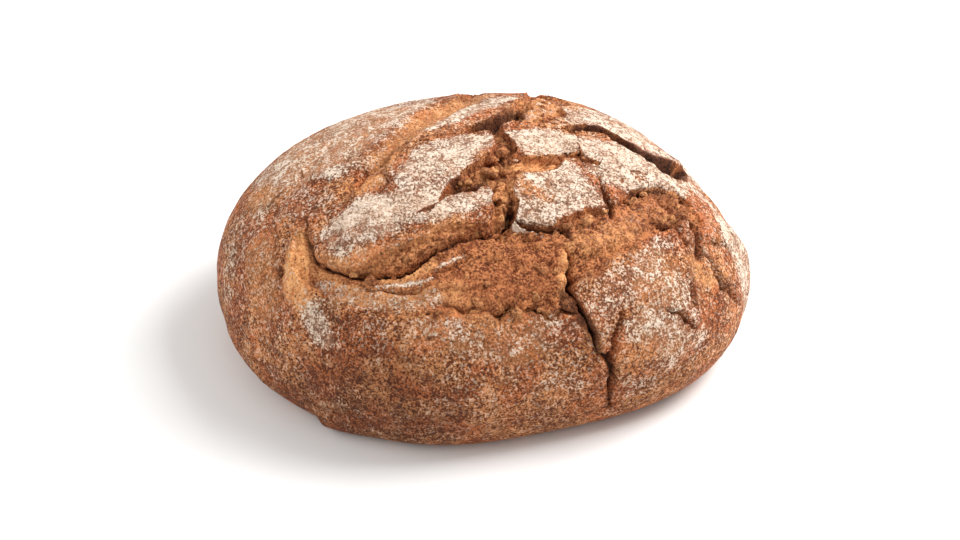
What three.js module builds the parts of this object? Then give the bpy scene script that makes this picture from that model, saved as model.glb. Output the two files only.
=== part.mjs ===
// Rye bread loaf: an oval farmhouse loaf, baked with its seam up, so that the floured skin has torn open
// over the crown and the dough has pushed through between the plates of skin. It is one solid, in
// millimetres, +Z up, +X along its length, and it rests on its flat bottom crust at z = 0.
//
// Everything on the crust is placed on a crust map: a point (a, b) lies hypot(a, b) mm from the crown,
// measured down the crust along the average meridian, in the direction of the map's own angle.

import * as THREE from "three";
import { mergeVertices } from "three/addons/utils/BufferGeometryUtils.js";

// ---- Driving dimensions ----

const LENGTH = 252;
const WIDTH = 199;
const HEIGHT = 106;
const BELLY_HEIGHT = 28; // level at which the loaf is widest
const FOOT_SHARE = 0.82; // width of the flat bottom, as a share of the outline
const CROWN_POWER = 0.9; // 1 is an ellipse, less makes a flatter crown and fuller shoulders
// how far a hand-shaped loaf strays from an ellipse: waves round the outline, and their sine and cosine parts
const OUTLINE_WAVES = [
  { waves: 2, sine: 0.019, cosine: -0.008 },
  { waves: 3, sine: -0.006, cosine: 0.007 },
  { waves: 4, sine: -0.02, cosine: -0.002 },
  { waves: 5, sine: -0.006, cosine: -0.002 },
];
const FOOT_FLARE = 4.5; // how far the bottom crust sticks out along part of the front
const FLARE_FROM = -2.33; // map angles between which it does, in radians
const FLARE_TO = -2;
// dents in the outline, and a bump: depth, as a share of it, and angle and half width in radians
const DENTS = [
  { depth: 0.012, angle: -2.95, spread: 0.16 },
  { depth: 0.018, angle: 0.42, spread: 0.2 },
  { depth: -0.02, angle: -0.05, spread: 0.08 },
];

const CELLS = 31; // grid cells along each edge of the box that the crust is spread from
const MERIDIAN_STEPS = 400;
const BASE_POLAR = (152 * Math.PI) / 180; // polar angle on the box at which the flat bottom starts
const CROWN_DENSITY = 0.75; // under 1 crowds the grid towards the broken crown
const PULL = 5; // grid points this near an edge of the relief are drawn towards it

// ---- What has happened to the crust: lines on the crust map, of points [a, b, half width] ----

// Tears: places where the skin has parted and bare dough shows. Each has the depth of its floor beside its
// edges, from where it swells back up in the middle of a wide tear, and the height of its rubble.
const TEARS = {
  crown: {
    depth: 5,
    rough: 2.6,
    line: [
      [-35, -48.5, 0.8],
      [-29, -50.5, 1.2],
      [-23, -50.5, 1.6],
      [-18, -47, 2.6],
      [-13, -40, 5],
      [-5, -34, 7.5],
      [5, -25, 9],
      [11, -14, 7.5],
    ],
  },
  crownUpperPart: {
    depth: 3.5,
    rough: 2,
    line: [
      [11, -14, 7.5],
      [12, -5, 6],
      [11, 3, 5.6],
      [9, 11, 5.5],
      [7, 17, 4.5],
    ],
  },
  topHole: {
    depth: 6.5,
    rough: 1,
    line: [
      [-7, 8, 2.5],
      [-2, 12, 6],
      [4, 16, 7.5],
      [11, 23, 6.5],
      [17, 30, 5],
      [23, 39, 2],
    ],
  },
  middle: {
    depth: 4.5,
    rough: 2.4,
    line: [
      [12, -18, 7],
      [14, -32, 8],
      [14, -44, 8],
      [13, -56, 8],
      [14, -66, 5],
    ],
  },
  behindMiddlePlate: {
    depth: 3.5,
    rough: 2,
    line: [
      [14, -14, 8],
      [22, -18, 9],
      [28, -13, 7],
      [37, -7, 4],
      [48, -9, 2],
    ],
  },
  betweenRightPlates: {
    depth: 2.5,
    rough: 0.5,
    line: [
      [42, -5, 1.5],
      [42, 5, 1.2],
      [41, 15, 3],
    ],
  },
  backRight: {
    depth: 2.5,
    rough: 1.2,
    line: [
      [14, 22, 3],
      [27, 24, 7],
      [30, 36, 13],
      [33, 54, 13],
      [33, 74, 7],
      [30, 92, 2],
    ],
  },
  aboveLeftPlate: {
    depth: 1.2,
    rough: 0.3,
    line: [
      [-30, -1, 1],
      [-17, 4, 2],
      [-8, 8, 2.5],
      [-3, 11, 3],
    ],
  },
  stretchedPatch: {
    depth: 1.5,
    rough: 0.3,
    line: [
      [-50, -28, 3],
      [-48, -22, 5.5],
      [-43, -17, 4.5],
      [-38, -11, 2],
    ],
  },
  backLeft: {
    depth: 2.5,
    rough: 1.2,
    line: [
      [-12, 60, 2],
      [-8, 72, 8],
      [-4, 86, 6],
      [0, 98, 2],
    ],
  },
  rightShoulder: {
    depth: 6.5,
    rough: 1.5,
    line: [
      [40, 19, 4],
      [50, 24, 5],
      [58, 25, 5.5],
      [65, 17, 5.5],
      [71, 11, 7.5],
      [79, 10, 9],
      [87, 11, 9],
      [95, 20, 6],
      [100, 36, 1.5],
    ],
  },
  frontBand: {
    depth: 2,
    rough: 1.2,
    line: [
      [-80, -43, 4],
      [-79, -57, 7.5],
      [-71, -72, 8],
      [-54, -82, 12],
      [-34, -83, 19],
      [-12, -83, 23],
      [10, -84, 24],
      [30, -82, 23],
      [48, -66, 15],
      [60, -50, 14],
      [68, -38, 13],
      [77, -26, 13],
      [88, -17, 9],
      [98, -22, 5],
    ],
  },
  frontCrack: {
    depth: 3,
    rough: 0.8,
    line: [
      [50, -89, 2.2],
      [56, -98, 3.6],
      [64, -104, 3.4],
      [71, -110, 2],
    ],
  },
};

const BAND_MELT = { b: [-82, -96], a: [28, -24] }; // between these the front band runs into the skin

// Cracks: clefts with steep sides, as deep as CRACK_DEPTH times their half width.
const CRACK_DEPTH = 2.4;
const CRACKS = {
  underTongue: [
    [-76, -36, 0.8],
    [-74.5, -46, 1.8],
    [-72.5, -55, 2.2],
    [-68, -64, 2.2],
    [-60, -71.5, 2.2],
    [-50, -77, 2.2],
    [-39, -79, 2.2],
    [-29, -77, 2],
    [-20, -71, 2],
    [-8, -67, 2],
    [3, -66, 2],
    [12, -65, 2.6],
    [16, -57, 2.6],
    [17, -47, 2],
  ],
  belowLip: [
    [-52, -83, 0.5],
    [-40, -87, 1.2],
    [-29, -88.5, 1.2],
    [-21, -87, 0.6],
  ],
  belowSecondLip: [
    [-22, -83, 0.5],
    [-13, -80, 1.1],
    [-4, -77, 0.6],
  ],
  gully: [
    [-57, -26, 0.7],
    [-50, -17, 1.4],
    [-42, -9, 1.9],
    [-36, -3, 0.9],
  ],
  besideStretchedPatch: [
    [-39, -20, 0.6],
    [-38, -27, 1.4],
    [-42, -33, 0.8],
  ],
  crownHole: [
    [-14, -38, 1.5],
    [-7, -36, 3],
    [0, -34, 1.5],
  ],
  endOfCrownTear: [
    [-37, -48, 0.7],
    [-30, -50.5, 1.5],
    [-22, -50.5, 1.9],
    [-17, -46, 2.1],
    [-14, -39, 1.5],
  ],
  topHole: [
    [1, 15, 1.5],
    [8, 22, 3],
    [14, 27, 2.8],
    [20, 36, 1.2],
  ],
  rightShoulder: [
    [46, 22, 1.5],
    [56, 25, 2.6],
    [64, 17, 2.4],
    [70, 9, 2.4],
    [79, 10, 3.6],
    [87, 13, 3.6],
    [94, 19, 3],
    [99, 28, 1.2],
  ],
  footOfMiddlePlate: [
    [21, -57, 1],
    [27, -58, 2],
    [34, -58, 2.4],
    [43, -57, 2.2],
    [48, -59, 1],
  ],
  besideMiddlePlate: [
    [50, -16, 1],
    [53, -26, 1.8],
    [57, -34, 2.2],
    [60, -40, 1],
  ],
  underRightPlate: [
    [60, -29, 1],
    [65, -20, 1.8],
    [73, -13, 2],
    [84, -9, 2],
    [91, -12, 1],
  ],
  front: [
    [48, -66, 1],
    [49, -78, 2],
    [49.5, -89, 2.5],
    [54, -97, 2.7],
    [62, -103, 2.7],
    [69, -109, 2.4],
    [77, -111, 2.2],
    [83, -115, 2.4],
    [88, -123, 2.2],
    [92, -130, 1.4],
    [97, -136, 0.8],
  ],
  frontBranch: [
    [73, -88, 0.8],
    [77, -96, 1.8],
    [78, -104, 2],
    [78, -111, 2],
  ],
  lowerEdgeOfBandLeft: [
    [-14, -99, 0.6],
    [-7, -103, 1.4],
    [2, -100, 0.8],
  ],
  lowerEdgeOfBand: [
    [7, -105, 0.7],
    [13, -107, 2],
    [21, -104, 0.8],
    [26, -106, 0.8],
    [33, -104, 2.2],
    [41, -105, 0.9],
    [49, -99, 1.8],
  ],
  rightFlank: [
    [77, -34, 1],
    [82, -34, 2],
    [87, -34, 1.8],
    [94, -38, 1],
  ],
  rightFlankOuter: [
    [100, -53, 0.7],
    [103, -59, 1.5],
    [107, -63, 0.8],
  ],
  rightRim: [
    [99, -34, 0.8],
    [108, -28, 1.5],
    [120, -20, 1],
  ],
  aboveRightFlank: [
    [74, -13, 0.8],
    [79, -20, 1.5],
    [85, -25, 2],
    [92, -25, 1.5],
    [98, -31, 2.8],
    [101, -37, 2.6],
    [101, -44, 0.8],
  ],
  rightRimLower: [
    [104, -38, 0.8],
    [116, -42, 1.7],
    [134, -41, 1],
  ],
  lowerRight: [
    [97, -74, 0.7],
    [106, -73, 1.5],
    [114, -72, 0.8],
  ],
  leftRim: [
    [-96, -58, 0.8],
    [-93, -53.5, 1.7],
    [-90, -49, 0.7],
  ],
  backLeft: [
    [-62, 92, 0.8],
    [-50, 106, 2],
    [-44, 122, 1.2],
  ],
  backRight: [
    [66, 84, 1],
    [80, 96, 2.2],
    [86, 112, 1.2],
  ],
};

// Valleys: long shallow furrows where the skin has stretched, as deep as VALLEY_DEPTH times their half width.
const VALLEY_DEPTH = 0.3;
const VALLEYS = {
  backLeft: [
    [-60, -32, 5],
    [-51, -18, 7],
    [-42, -8, 8],
    [-34, 3, 8],
    [-28, 14, 9],
    [-24, 28, 10],
    [-17, 42, 11],
    [-9, 54, 11],
    [-3, 66, 9],
    [2, 90, 6],
  ],
  acrossLeftShoulder: [
    [-96, -24, 3],
    [-84, -12, 5],
    [-72, 0, 5],
    [-62, 14, 3],
  ],
};

// Swells: pillows of skin, and a hollow. One with a melt runs smoothly into the loaf between those two
// values of b.
const SWELLS = {
  tongue: { a: -28, b: -49, long: 47, wide: 27, tilt: 0.11, rise: 6, melt: [-26, -58] },
  middlePlate: { a: 34, b: -36, long: 26, wide: 20, tilt: 1.25, rise: 3 },
  leftPlate: { a: -15, b: -18, long: 30, wide: 18, tilt: 0.6, rise: 2.5 },
  rightPlate: { a: 60, b: 0, long: 26, wide: 15, tilt: -0.3, rise: 2.5 },
  foldLeftOfTongue: { a: -84, b: -58, long: 21, wide: 11, tilt: 1.32, rise: 3 },
  frontRightShoulder: { a: 88, b: -88, long: 36, wide: 28, tilt: 0.8, rise: 3 },
  hollowOfRightShoulder: { a: 104, b: 10, long: 40, wide: 26, tilt: 0.2, rise: -2.6 },
};

const WALL = 2.5; // run of a tear's steep edge
const LIP = 0.9; // how far the skin curls up along a tear
const LIP_RUN = 2.5;
const SWELL_BACK = 12; // distance in from its edge at which the floor of a wide tear is level again
const RAGGED = [
  { size: 2.4, wave: 11 },
  { size: 1.3, wave: 4.5 },
]; // strays of the tears' edges, in mm, and their wavelengths
const UNEVEN = { size: 1.6, wave: 55 }; // lumps of the whole loaf
const RUBBLE_WAVE = 9; // size of the lumps of the bare dough

// ---- Smooth noise from -1 to 1, the same for the same place ----

const fract = (x) => x - Math.floor(x);
const lattice = (i, j, k) => fract(Math.sin(i * 127.1 + j * 311.7 + k * 74.7) * 43758.5453);
const ease = (t) => t * t * (3 - 2 * t);
const ramp = (x, from, to) => ease(THREE.MathUtils.clamp((x - from) / (to - from), 0, 1));

function noise(point, wave, seed) {
  const [x, y, z] = [point.x / wave + seed, point.y / wave, point.z / wave];
  const [i, j, k] = [Math.floor(x), Math.floor(y), Math.floor(z)];
  const [u, v, w] = [ease(x - i), ease(y - j), ease(z - k)];
  let sum = 0;
  for (const di of [0, 1])
    for (const dj of [0, 1])
      for (const dk of [0, 1]) {
        const share = (di ? u : 1 - u) * (dj ? v : 1 - v) * (dk ? w : 1 - w);
        sum += share * lattice(i + di, j + dj, k + dk);
      }
  return 2 * sum - 1;
}

// ---- The loaf without its tears ----

// The outline seen from above, as the distance from the middle at an angle.
function outline(angle) {
  const ellipse = 1 / Math.hypot(Math.cos(angle) / (LENGTH / 2), Math.sin(angle) / (WIDTH / 2));
  let stray = 0;
  for (const { waves, sine, cosine } of OUTLINE_WAVES)
    stray += sine * Math.sin(waves * angle) + cosine * Math.cos(waves * angle);
  for (const dent of DENTS) stray -= dent.depth * Math.exp(-(((angle - dent.angle) / dent.spread) ** 2));
  return ellipse * (1 + stray);
}

// The average meridian from the crown to the edge of the flat bottom: at each distance down the crust,
// the reach, as a share of the outline, and the height.
const meridian = [];
for (let i = 0; i <= 1.5 * MERIDIAN_STEPS; i++) {
  const upper = Math.min(i / MERIDIAN_STEPS, 1) * (Math.PI / 2);
  const lower = Math.max((i - MERIDIAN_STEPS) / (0.5 * MERIDIAN_STEPS), 0) * (Math.PI / 2);
  const dome = (HEIGHT - BELLY_HEIGHT) * Math.max(Math.cos(upper), 0) ** CROWN_POWER;
  const reach = lower ? FOOT_SHARE + (1 - FOOT_SHARE) * Math.cos(lower) : Math.sin(upper) ** CROWN_POWER;
  const height = lower ? BELLY_HEIGHT * (1 - Math.sin(lower)) : BELLY_HEIGHT + dome;
  const last = meridian.at(-1) ?? { down: 0, reach, height };
  const step = Math.hypot(((reach - last.reach) * (LENGTH + WIDTH)) / 4, height - last.height);
  meridian.push({ down: last.down + step, reach, height });
}
const CRUST_REACH = meridian.at(-1).down;
const BELLY_REACH = meridian[MERIDIAN_STEPS].down;

function meridianAt(down) {
  let low = 0;
  let high = meridian.length - 1;
  while (high - low > 1) {
    const middle = (low + high) >> 1;
    if (meridian[middle].down <= down) low = middle;
    else high = middle;
  }
  const [p, q] = [meridian[low], meridian[high]];
  const t = THREE.MathUtils.clamp((down - p.down) / (q.down - p.down), 0, 1);
  return { reach: p.reach + t * (q.reach - p.reach), height: p.height + t * (q.height - p.height) };
}

// Where a point of the crust map lies on the smooth loaf.
function smoothPoint(a, b) {
  const down = Math.hypot(a, b);
  const angle = Math.atan2(b, a);
  const { reach, height } = meridianAt(down);
  const along = ramp(angle, FLARE_FROM, FLARE_FROM + 0.05) * (1 - ramp(angle, FLARE_FROM, FLARE_TO));
  const flare = FOOT_FLARE * along * ramp(down, BELLY_REACH, CRUST_REACH - 5);
  const radius = reach * outline(angle) + flare;
  return new THREE.Vector3(radius * Math.cos(angle), radius * Math.sin(angle), Math.max(height, 0));
}

function smoothNormal(a, b) {
  const step = 0.5;
  const along = smoothPoint(a + step, b).sub(smoothPoint(a - step, b));
  const across = smoothPoint(a, b + step).sub(smoothPoint(a, b - step));
  return along.cross(across).normalize();
}

// ---- Relief of the crust ----

// For each stretch of a line, gives visit the distance of a point from it, the direction away from it, and
// the half width there.
function beside(line, a, b, visit) {
  for (let i = 1; i < line.length; i++) {
    const [a0, b0, w0] = line[i - 1];
    const [da, db] = [line[i][0] - a0, line[i][1] - b0];
    const t = THREE.MathUtils.clamp(((a - a0) * da + (b - b0) * db) / (da * da + db * db), 0, 1);
    const [offA, offB] = [a - a0 - t * da, b - b0 - t * db];
    const distance = Math.hypot(offA, offB) + 1e-9;
    visit(distance, offA / distance, offB / distance, w0 + t * (line[i][2] - w0));
  }
}

// Strays from the drawn lines, so that the edges come out ragged.
function ragged(a, b) {
  const point = smoothPoint(a, b);
  RAGGED.forEach(({ size, wave }, i) => {
    a += size * noise(point, wave, 10 + i);
    b += size * noise(point, wave, 20 + i);
  });
  return [a, b];
}

// How much closer to an edge a grid point is drawn that lies this far from it.
const drawn = (distance) => distance * (1 - Math.min(Math.abs(distance) / PULL, 1));

// Draws a grid point near an edge of a tear, and then near the bottom of a crack, closer to it.
function drawnToEdges(a, b) {
  let [wa, wb] = ragged(a, b);
  const edge = { inside: -Infinity, moveA: 0, moveB: 0 };
  for (const { line } of Object.values(TEARS))
    beside(line, wa, wb, (distance, awayA, awayB, half) => {
      const inside = half - distance;
      if (inside <= edge.inside) return;
      Object.assign(edge, { inside, moveA: drawn(inside) * awayA, moveB: drawn(inside) * awayB });
    });
  [a, b, wa, wb] = [a + edge.moveA, b + edge.moveB, wa + edge.moveA, wb + edge.moveB];

  const bottom = { distance: Infinity, moveA: 0, moveB: 0 };
  for (const line of Object.values(CRACKS))
    beside(line, wa, wb, (distance, awayA, awayB) => {
      if (distance >= bottom.distance) return;
      Object.assign(bottom, { distance, moveA: -drawn(distance) * awayA, moveB: -drawn(distance) * awayB });
    });
  return [a + bottom.moveA, b + bottom.moveB];
}

function swellHeight({ a: a0, b: b0, long, wide, tilt, rise, melt }, a, b) {
  const along = ((a - a0) * Math.cos(tilt) + (b - b0) * Math.sin(tilt)) / long;
  const across = ((b - b0) * Math.cos(tilt) - (a - a0) * Math.sin(tilt)) / wide;
  const inside = Math.max(1 - along * along - across * across, 0);
  return rise * inside ** 0.6 * (melt ? ramp(b, melt[0], melt[1]) : 1);
}

// Depth of furrows, as a multiple of their half width, that are flat over a share of it.
function furrowDepth(lines, depth, flat, a, b) {
  let deepest = 0;
  for (const line of Object.values(lines))
    beside(line, a, b, (distance, awayA, awayB, half) => {
      deepest = Math.max(deepest, depth * half * (1 - ramp(distance / half, flat, 1)));
    });
  return deepest;
}

// Height of the crust over the smooth loaf.
function relief(a, b, point) {
  const [wa, wb] = ragged(a, b);
  let inside = -Infinity; // how far in from the nearest edge of a tear, negative outside
  let drop = 0;
  let rubble = 0;
  for (const { depth, rough, line } of Object.values(TEARS)) {
    let within = -Infinity;
    beside(line, wa, wb, (distance, awayA, awayB, half) => (within = Math.max(within, half - distance)));
    const floor = depth * (1 - 0.85 * ramp(within, WALL, SWELL_BACK));
    drop = Math.max(drop, floor * ramp(within, 0, WALL));
    rubble = Math.max(rubble, rough * ramp(within, 0, WALL));
    inside = Math.max(inside, within);
  }
  const melt = ramp(wb, ...BAND_MELT.b) * ramp(wa, ...BAND_MELT.a);
  drop *= 1 - melt;
  rubble *= 1 - melt;
  const cleft = furrowDepth(CRACKS, CRACK_DEPTH, 0.15, wa, wb);
  const valley = furrowDepth(VALLEYS, VALLEY_DEPTH, 0, wa, wb);

  const swell = Object.values(SWELLS).reduce((sum, pillow) => sum + swellHeight(pillow, wa, wb), 0);
  const lip = inside < 0 ? LIP * Math.exp(inside / LIP_RUN) * (1 - melt) : 0;
  const lumps = 0.5 * rubble * noise(point, RUBBLE_WAVE, 30);
  const uneven = UNEVEN.size * noise(point, UNEVEN.wave, 40);
  const fade = 1 - ramp(Math.hypot(a, b), CRUST_REACH - 32, CRUST_REACH - 8);
  return fade * (swell + lip + lumps + uneven - drop - cleft - valley);
}

// ---- The solid ----

// Spreads a point of a box of half side 1 over the loaf: its upper part over the crust, and the rest over
// the flat bottom.
function loafPoint(corner) {
  const even = corner.clone();
  for (const axis of ["x", "y", "z"]) even[axis] = Math.tan((corner[axis] * Math.PI) / 4);
  const polar = even.angleTo(new THREE.Vector3(0, 0, 1));
  const angle = Math.atan2(even.y, even.x);
  if (polar >= BASE_POLAR) {
    const share = (Math.PI - polar) / (Math.PI - BASE_POLAR);
    const edge = smoothPoint(CRUST_REACH * Math.cos(angle), CRUST_REACH * Math.sin(angle));
    return edge.multiplyScalar(share).setZ(0);
  }
  const t = polar / BASE_POLAR;
  const down = CRUST_REACH * (CROWN_DENSITY * t + (1 - CROWN_DENSITY) * t ** 3);
  const [a, b] = drawnToEdges(down * Math.cos(angle), down * Math.sin(angle));
  const point = smoothPoint(a, b);
  return point.clone().addScaledVector(smoothNormal(a, b), relief(a, b, point));
}

function loafGeometry() {
  const box = new THREE.BoxGeometry(2, 2, 2, CELLS, CELLS, CELLS);
  box.deleteAttribute("normal");
  box.deleteAttribute("uv");
  const geometry = mergeVertices(box);
  const position = geometry.getAttribute("position");
  const corner = new THREE.Vector3();
  for (let i = 0; i < position.count; i++) {
    const { x, y, z } = loafPoint(corner.fromBufferAttribute(position, i));
    position.setXYZ(i, x, y, z);
  }
  // Centres the loaf over the origin, standing on z = 0.
  geometry.computeBoundingBox();
  const middle = geometry.boundingBox.getCenter(new THREE.Vector3());
  geometry.translate(-middle.x, -middle.y, -geometry.boundingBox.min.z);
  geometry.computeVertexNormals();
  return geometry;
}

const crust = new THREE.MeshStandardMaterial({ color: 0xa8714a, roughness: 0.85, metalness: 0 });

const bread = new THREE.Group();
const loaf = new THREE.Mesh(loafGeometry(), crust);
loaf.name = "loaf";
bread.add(loaf);

export default bread;
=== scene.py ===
"""The looks of the rye bread loaf: its torn, floured crust, on a pale floor in soft studio light.

The form is worked out in millimetres, as the CAD loaf's is, and on a finer grid. Everything on the crust is
placed on a crust map. Its point (a, b) lies hypot(a, b) mm down the crust from the crown, measured along the
average meridian, in the direction of (a, b) as seen from above.
"""

import math
from itertools import product
from typing import NamedTuple

import bmesh
import bpy
import numpy as np
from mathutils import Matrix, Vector


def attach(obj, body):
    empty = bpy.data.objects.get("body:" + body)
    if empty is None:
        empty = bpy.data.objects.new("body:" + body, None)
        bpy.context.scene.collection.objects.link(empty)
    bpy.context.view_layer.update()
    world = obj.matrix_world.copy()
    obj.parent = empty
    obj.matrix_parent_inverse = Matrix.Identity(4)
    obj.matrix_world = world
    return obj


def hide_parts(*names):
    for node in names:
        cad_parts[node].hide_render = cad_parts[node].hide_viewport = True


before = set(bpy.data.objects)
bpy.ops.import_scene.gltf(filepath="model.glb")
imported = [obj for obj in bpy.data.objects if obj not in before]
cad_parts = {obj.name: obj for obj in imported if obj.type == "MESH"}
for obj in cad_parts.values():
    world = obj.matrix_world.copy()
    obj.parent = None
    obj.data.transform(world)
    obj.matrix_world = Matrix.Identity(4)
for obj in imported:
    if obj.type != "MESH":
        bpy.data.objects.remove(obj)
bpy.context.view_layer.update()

MM = 0.001

# ---- Form of the loaf, as in the CAD model ----

LENGTH = 252
WIDTH = 199
HEIGHT = 106
BELLY_HEIGHT = 28  # level at which the loaf is widest
FOOT_SHARE = 0.82  # width of the flat bottom, as a share of the outline
CROWN_POWER = 0.9  # 1 is an ellipse, less makes a flatter crown and fuller shoulders
# how the outline strays from an ellipse: waves round it, and their sine and cosine parts
OUTLINE_WAVES = ((2, 0.019, -0.008), (3, -0.006, 0.007), (4, -0.020, -0.002), (5, -0.006, -0.002))
FOOT_FLARE = 4.5  # how far the bottom crust sticks out along part of the front
FLARE_FROM = -2.33  # map angles between which it does
FLARE_TO = -2.0
FLARE_START = 0.05  # angle over which it begins
FLARE_FULL = 5  # distance from the bottom's edge up to which it sticks out in full
# dents in the outline, and a bump: depth, as a share of it, map angle and spread
DENTS = ((0.012, -2.95, 0.16), (0.018, 0.42, 0.2), (-0.02, -0.05, 0.08))

CELLS = 129  # grid cells along each edge of the box that the crust is spread from
MERIDIAN_STEPS = 400
BASE_POLAR = math.radians(152)  # polar angle on the box at which the flat bottom starts
CROWN_DENSITY = 0.75  # under 1 crowds the grid towards the broken crown

# Tears: places where the skin has parted and bare dough shows. Each has the depth of its floor, the height
# of the rubble on it, and its line of (a, b, half width). A wide tear's floor swells back up in the middle.
TEARS = {
    "crown": (5, 2.6, [(-35, -48.5, 0.8), (-29, -50.5, 1.2), (-23, -50.5, 1.6), (-18, -47, 2.6),
                       (-13, -40, 5), (-5, -34, 7.5), (5, -25, 9), (11, -14, 7.5)]),
    "crown, upper part": (3.5, 2, [(11, -14, 7.5), (12, -5, 6), (11, 3, 5.6), (9, 11, 5.5), (7, 17, 4.5)]),
    "top hole": (6.5, 1, [(-7, 8, 2.5), (-2, 12, 6), (4, 16, 7.5), (11, 23, 6.5), (17, 30, 5), (23, 39, 2)]),
    "middle": (4.5, 2.4, [(12, -18, 7), (14, -32, 8), (14, -44, 8), (13, -56, 8), (14, -66, 5)]),
    "middle plate, back": (3.5, 2, [(14, -14, 8), (22, -18, 9), (28, -13, 7), (37, -7, 4), (48, -9, 2)]),
    "between the right plates": (2.5, 0.5, [(42, -5, 1.5), (42, 5, 1.2), (41, 15, 3)]),
    "back right": (2.5, 1.2, [(14, 22, 3), (27, 24, 7), (30, 36, 13), (33, 54, 13), (33, 74, 7),
                              (30, 92, 2)]),
    "above the left plate": (1.2, 0.3, [(-30, -1, 1), (-17, 4, 2), (-8, 8, 2.5), (-3, 11, 3)]),
    "stretched patch": (1.5, 0.3, [(-50, -28, 3), (-48, -22, 5.5), (-43, -17, 4.5), (-38, -11, 2)]),
    "back left": (2.5, 1.2, [(-12, 60, 2), (-8, 72, 8), (-4, 86, 6), (0, 98, 2)]),
    "right shoulder": (6.5, 1.5, [(40, 19, 4), (50, 24, 5), (58, 25, 5.5), (65, 17, 5.5), (71, 11, 7.5),
                                  (79, 10, 9), (87, 11, 9), (95, 20, 6), (100, 36, 1.5)]),
    "front band": (2, 1.2, [(-80, -43, 4), (-79, -57, 7.5), (-71, -72, 8), (-54, -82, 12), (-34, -83, 19),
                            (-12, -83, 23), (10, -84, 24), (30, -82, 23), (48, -66, 15), (60, -50, 14),
                            (68, -38, 13), (77, -26, 13), (88, -17, 9), (98, -22, 5)]),
    "front crack": (3, 0.8, [(50, -89, 2.2), (56, -98, 3.6), (64, -104, 3.4), (71, -110, 2)]),
}

BAND_MELT = ((-82, -96), (28, -24))  # values of b and a between which the front band runs into the skin
MELTED = 0.8  # share of the bare dough that the skin covers there

# Cracks: clefts with steep sides, as deep as CRACK_DEPTH times their half width.
CRACK_DEPTH = 2.4
CRACKS = {
    "under the tongue": [(-76, -36, 0.8), (-74.5, -46, 1.8), (-72.5, -55, 2.2), (-68, -64, 2.2),
                         (-60, -71.5, 2.2), (-50, -77, 2.2), (-39, -79, 2.2), (-29, -77, 2), (-20, -71, 2),
                         (-8, -67, 2), (3, -66, 2), (12, -65, 2.6), (16, -57, 2.6), (17, -47, 2)],
    "below the lip": [(-52, -83, 0.5), (-40, -87, 1.2), (-29, -88.5, 1.2), (-21, -87, 0.6)],
    "below the second lip": [(-22, -83, 0.5), (-13, -80, 1.1), (-4, -77, 0.6)],
    "gully": [(-57, -26, 0.7), (-50, -17, 1.4), (-42, -9, 1.9), (-36, -3, 0.9)],
    "beside the stretched patch": [(-39, -20, 0.6), (-38, -27, 1.4), (-42, -33, 0.8)],
    "crown hole": [(-14, -38, 1.5), (-7, -36, 3), (0, -34, 1.5)],
    "crown, end": [(-37, -48, 0.7), (-30, -50.5, 1.5), (-22, -50.5, 1.9), (-17, -46, 2.1), (-14, -39, 1.5)],
    "top hole": [(1, 15, 1.5), (8, 22, 3), (14, 27, 2.8), (20, 36, 1.2)],
    "right shoulder": [(46, 22, 1.5), (56, 25, 2.6), (64, 17, 2.4), (70, 9, 2.4), (79, 10, 3.6),
                       (87, 13, 3.6), (94, 19, 3), (99, 28, 1.2)],
    "middle plate, foot": [(21, -57, 1), (27, -58, 2), (34, -58, 2.4), (43, -57, 2.2), (48, -59, 1)],
    "beside the middle plate": [(50, -16, 1), (53, -26, 1.8), (57, -34, 2.2), (60, -40, 1)],
    "under the right plate": [(60, -29, 1), (65, -20, 1.8), (73, -13, 2), (84, -9, 2), (91, -12, 1)],
    "front": [(48, -66, 1), (49, -78, 2), (49.5, -89, 2.5), (54, -97, 2.7), (62, -103, 2.7), (69, -109, 2.4),
              (77, -111, 2.2), (83, -115, 2.4), (88, -123, 2.2), (92, -130, 1.4), (97, -136, 0.8)],
    "front branch": [(73, -88, 0.8), (77, -96, 1.8), (78, -104, 2), (78, -111, 2)],
    "lower edge of the band, left": [(-14, -99, 0.6), (-7, -103, 1.4), (2, -100, 0.8)],
    "lower edge of the band": [(7, -105, 0.7), (13, -107, 2), (21, -104, 0.8), (26, -106, 0.8),
                               (33, -104, 2.2), (41, -105, 0.9), (49, -99, 1.8)],
    "right flank": [(77, -34, 1), (82, -34, 2), (87, -34, 1.8), (94, -38, 1)],
    "right flank, outer": [(100, -53, 0.7), (103, -59, 1.5), (107, -63, 0.8)],
    "right rim": [(99, -34, 0.8), (108, -28, 1.5), (120, -20, 1)],
    "above the right flank": [(74, -13, 0.8), (79, -20, 1.5), (85, -25, 2), (92, -25, 1.5), (98, -31, 2.8),
                              (101, -37, 2.6), (101, -44, 0.8)],
    "right rim, lower": [(104, -38, 0.8), (116, -42, 1.7), (134, -41, 1)],
    "lower right": [(97, -74, 0.7), (106, -73, 1.5), (114, -72, 0.8)],
    "left rim": [(-96, -58, 0.8), (-93, -53.5, 1.7), (-90, -49, 0.7)],
    "back left": [(-62, 92, 0.8), (-50, 106, 2), (-44, 122, 1.2)],
    "back right": [(66, 84, 1), (80, 96, 2.2), (86, 112, 1.2)],
}

# Valleys: long shallow furrows where the skin has stretched, as deep as VALLEY_DEPTH times their half width.
VALLEY_DEPTH = 0.3
VALLEYS = {
    "back left": [(-60, -32, 5), (-51, -18, 7), (-42, -8, 8), (-34, 3, 8), (-28, 14, 9), (-24, 28, 10),
                  (-17, 42, 11), (-9, 54, 11), (-3, 66, 9), (2, 90, 6)],
    "across the left shoulder": [(-96, -24, 3), (-84, -12, 5), (-72, 0, 5), (-62, 14, 3)],
}

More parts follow.
